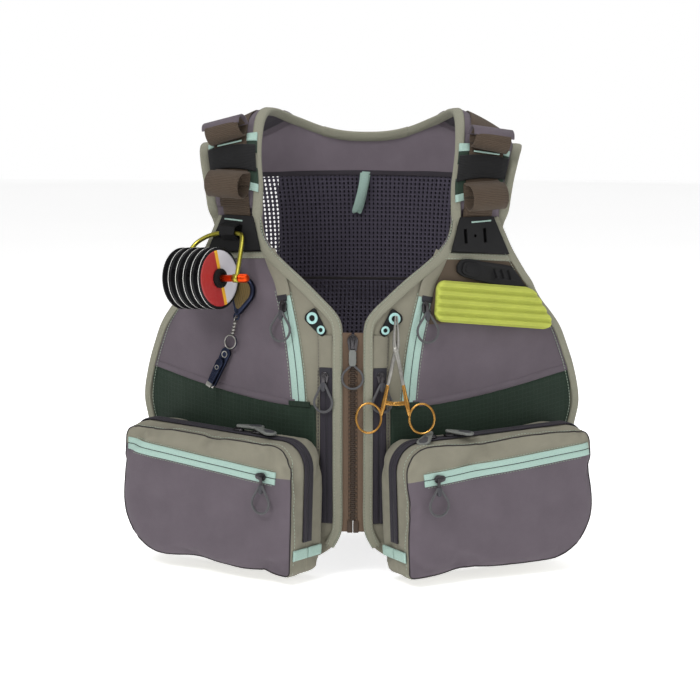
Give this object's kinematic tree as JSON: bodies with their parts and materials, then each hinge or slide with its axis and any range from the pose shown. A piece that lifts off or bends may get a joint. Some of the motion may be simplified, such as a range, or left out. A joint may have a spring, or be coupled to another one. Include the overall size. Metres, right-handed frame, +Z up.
{
  "type": "fishing vest",
  "caption": "Fly fishing vest with a mesh back, padded shoulders, a toothed front zip, deep clamshell chest pockets, tool tabs, tippet spools, nippers and forceps.",
  "frame": {"origin": "midway between the shoulder straps, where the vest rests on the wearer's shoulders", "axes": "+Z up, -Y the way the wearer faces, +X to the wearer's left"},
  "size_m": [0.4638, 0.2888, 0.4454],
  "materials": {
    "taupe_cloth": "plain-weave nylon, matt",
    "plum_cloth": "fine plain-weave nylon, matt",
    "ripstop": "ripstop nylon with a small square grid",
    "back_mesh": "open spacer mesh",
    "mint_tape": "water-shedding coil zip tape",
    "slate_tape": "coil zip tape",
    "brown_tape": "woven zip tape with moulded teeth",
    "brown_webbing": "ribbed nylon webbing",
    "black_webbing": "soft black band",
    "black_moulding": "moulded thermoplastic rubber",
    "zip_metal": "black enamelled die-cast",
    "dark_alloy": "dark anodised",
    "gold_steel": "gold-plated",
    "yellow_alloy": "yellow anodised",
    "spool_plastic": "moulded spool",
    "lime_foam": "closed-cell foam"
  },
  "bodies": {
    "back": {"back_panel": "back_mesh", "back_yoke": "plum_cloth", "back_binding": "taupe_cloth", "back_pocket": "plum_cloth", "net_ring_tab": "black_webbing", "hang_loop": "mint_tape", "shoulder_pad_right": "plum_cloth", "shoulder_pad_left": "plum_cloth", "shoulder_webbing_right": "brown_webbing", "shoulder_webbing_left": "brown_webbing", "shoulder_bands_right": "black_webbing", "shoulder_bands_left": "black_webbing", "side_strap_right": "brown_webbing", "side_strap_left": "brown_webbing"},
    "net_ring": {"net_ring": "dark_alloy"},
    "front_right": {"front_panel_right": "taupe_cloth", "chest_cloth_right": "plum_cloth", "ripstop_right": "ripstop", "front_binding_right": "taupe_cloth", "dock_plate_right": "black_moulding", "chest_zip_right": "mint_tape", "inner_zip_right": "slate_tape", "tool_tab_right": "black_moulding", "pocket_back_right": "taupe_cloth", "pocket_zip_right": "slate_tape", "zip_chain_right": "brown_tape", "retractor": "dark_alloy"},
    "front_left": {"front_panel_left": "taupe_cloth", "chest_cloth_left": "plum_cloth", "ripstop_left": "ripstop", "front_binding_left": "taupe_cloth", "dock_plate_left": "black_moulding", "chest_zip_left": "mint_tape", "inner_zip_left": "slate_tape", "tool_tab_left": "black_moulding", "pocket_back_left": "taupe_cloth", "pocket_zip_left": "slate_tape", "zip_chain_left": "brown_tape", "foam_patch": "lime_foam", "magnet_tab": "black_moulding"},
    "pocket_cover_right": {"pocket_cover_right": "plum_cloth"},
    "pocket_cover_left": {"pocket_cover_left": "plum_cloth"},
    "chest_slider_right": {"chest_slider_right": "zip_metal"},
    "inner_slider_right": {"inner_slider_right": "zip_metal"},
    "cover_slider_right": {"cover_slider_right": "zip_metal"},
    "pocket_slider_outer_right": {"pocket_slider_outer_right": "zip_metal"},
    "pocket_slider_inner_right": {"pocket_slider_inner_right": "zip_metal"},
    "chest_slider_left": {"chest_slider_left": "zip_metal"},
    "inner_slider_left": {"inner_slider_left": "zip_metal"},
    "cover_slider_left": {"cover_slider_left": "zip_metal"},
    "pocket_slider_outer_left": {"pocket_slider_outer_left": "zip_metal"},
    "pocket_slider_inner_left": {"pocket_slider_inner_left": "zip_metal"},
    "front_slider": {"front_slider": "zip_metal"},
    "front_slider_pull": {"front_slider_pull": "zip_metal"},
    "tippet_bail": {"tippet_bail": "yellow_alloy"},
    "tippet_spools": {"tippet_spools": "spool_plastic"},
    "nippers": {"nippers": "dark_alloy"},
    "nipper_lever": {"nipper_lever": "dark_alloy"},
    "forceps_ring_arm": {"forceps_ring_arm": "gold_steel"},
    "forceps_box_arm": {"forceps_box_arm": "gold_steel"}
  },
  "joints": [
    {"name": "net_ring_swing", "type": "hinge", "parent": "back", "child": "net_ring", "pos_m": [0, 0.10697, -0.066], "axis": [1, 0, 0], "range_deg": [0, 100]},
    {"name": "front_right_open", "type": "hinge", "parent": "back", "child": "front_right", "pos_m": [-0.206, -0.002, -0.398], "axis": [-0.2792, 0.1681, -0.9454], "range_deg": [0, 40]},
    {"name": "front_left_open", "type": "hinge", "parent": "back", "child": "front_left", "pos_m": [0.206, -0.002, -0.398], "axis": [-0.2792, -0.1681, 0.9454], "range_deg": [0, 40]},
    {"name": "pocket_cover_right_open", "type": "hinge", "parent": "front_right", "child": "pocket_cover_right", "pos_m": [-0.13183, -0.09468, -0.4294], "axis": [0.8566, -0.5147, -0.0349], "range_deg": [0, 50]},
    {"name": "pocket_cover_left_open", "type": "hinge", "parent": "front_left", "child": "pocket_cover_left", "pos_m": [0.13183, -0.09468, -0.4294], "axis": [0.8566, 0.5147, 0.0349], "range_deg": [0, 50]},
    {"name": "chest_zip_right_open", "type": "slide", "parent": "front_right", "child": "chest_slider_right", "axis": [0.1473, -0.1191, -0.9819], "range_m": [0, 0.072]},
    {"name": "inner_zip_right_open", "type": "slide", "parent": "front_right", "child": "inner_slider_right", "axis": [0, 0, -1], "range_m": [0, 0.118]},
    {"name": "cover_zip_right_open", "type": "slide", "parent": "pocket_cover_right", "child": "cover_slider_right", "axis": [-0.8539, 0.5131, 0.0872], "range_m": [0, 0.15]},
    {"name": "pocket_zip_outer_right_open", "type": "slide", "parent": "front_right", "child": "pocket_slider_outer_right", "axis": [-0.8566, 0.5147, 0.0349], "range_m": [0, 0.095]},
    {"name": "pocket_zip_inner_right_open", "type": "slide", "parent": "front_right", "child": "pocket_slider_inner_right", "axis": [0.8566, -0.5147, -0.0349], "range_m": [0, 0.034]},
    {"name": "chest_zip_left_open", "type": "slide", "parent": "front_left", "child": "chest_slider_left", "axis": [-0.1473, -0.1191, -0.9819], "range_m": [0, 0.072]},
    {"name": "inner_zip_left_open", "type": "slide", "parent": "front_left", "child": "inner_slider_left", "axis": [0, 0, -1], "range_m": [0, 0.118]},
    {"name": "cover_zip_left_open", "type": "slide", "parent": "pocket_cover_left", "child": "cover_slider_left", "axis": [0.8539, 0.5131, 0.0872], "range_m": [0, 0.15]},
    {"name": "pocket_zip_outer_left_open", "type": "slide", "parent": "front_left", "child": "pocket_slider_outer_left", "axis": [0.8566, 0.5147, 0.0349], "range_m": [0, 0.119]},
    {"name": "pocket_zip_inner_left_open", "type": "slide", "parent": "front_left", "child": "pocket_slider_inner_left", "axis": [-0.8566, -0.5147, -0.0349], "range_m": [0, 0.014]},
    {"name": "front_zip_open", "type": "slide", "parent": "front_left", "child": "front_slider", "axis": [0, 0, -1], "range_m": [0, 0.15], "deforming": ["zip_chain_left", "zip_chain_right"]},
    {"name": "front_pull_swing", "type": "hinge", "parent": "front_slider", "child": "front_slider_pull", "pos_m": [0, -0.1239, -0.208], "axis": [-1, 0, 0], "range_deg": [0, 150]},
    {"name": "tippet_bail_swing", "type": "hinge", "parent": "front_right", "child": "tippet_bail", "pos_m": [-0.1249, -0.0655, -0.112], "axis": [-0.827, 0.5578, -0.0698], "range_deg": [0, 55]},
    {"name": "tippet_spools_spin", "type": "hinge", "parent": "tippet_bail", "child": "tippet_spools", "pos_m": [-0.14977, -0.09059, -0.15393], "axis": [0.827, -0.5578, 0.0698], "continuous": true},
    {"name": "nippers_swing", "type": "hinge", "parent": "front_right", "child": "nippers", "pos_m": [-0.11662, -0.07727, -0.19245], "axis": [0.5177, 0.8504, -0.094], "range_deg": [-25, 25]},
    {"name": "nipper_press", "type": "hinge", "parent": "nippers", "child": "nipper_lever", "pos_m": [-0.13266, -0.07655, -0.23593], "axis": [0.7535, -0.5052, -0.4207], "range_deg": [0, 3], "stiffness_Nm_per_rad": 0.05},
    {"name": "forceps_swing", "type": "hinge", "parent": "front_left", "child": "forceps_ring_arm", "pos_m": [0.0415, -0.11831, -0.18798], "axis": [0, -0.9877, 0.1564], "range_deg": [-8, 20]},
    {"name": "forceps_open", "type": "hinge", "parent": "forceps_ring_arm", "child": "forceps_box_arm", "pos_m": [0.0415, -0.12301, -0.21761], "axis": [0, -0.9877, 0.1564], "range_deg": [0, 18]}
  ]
}
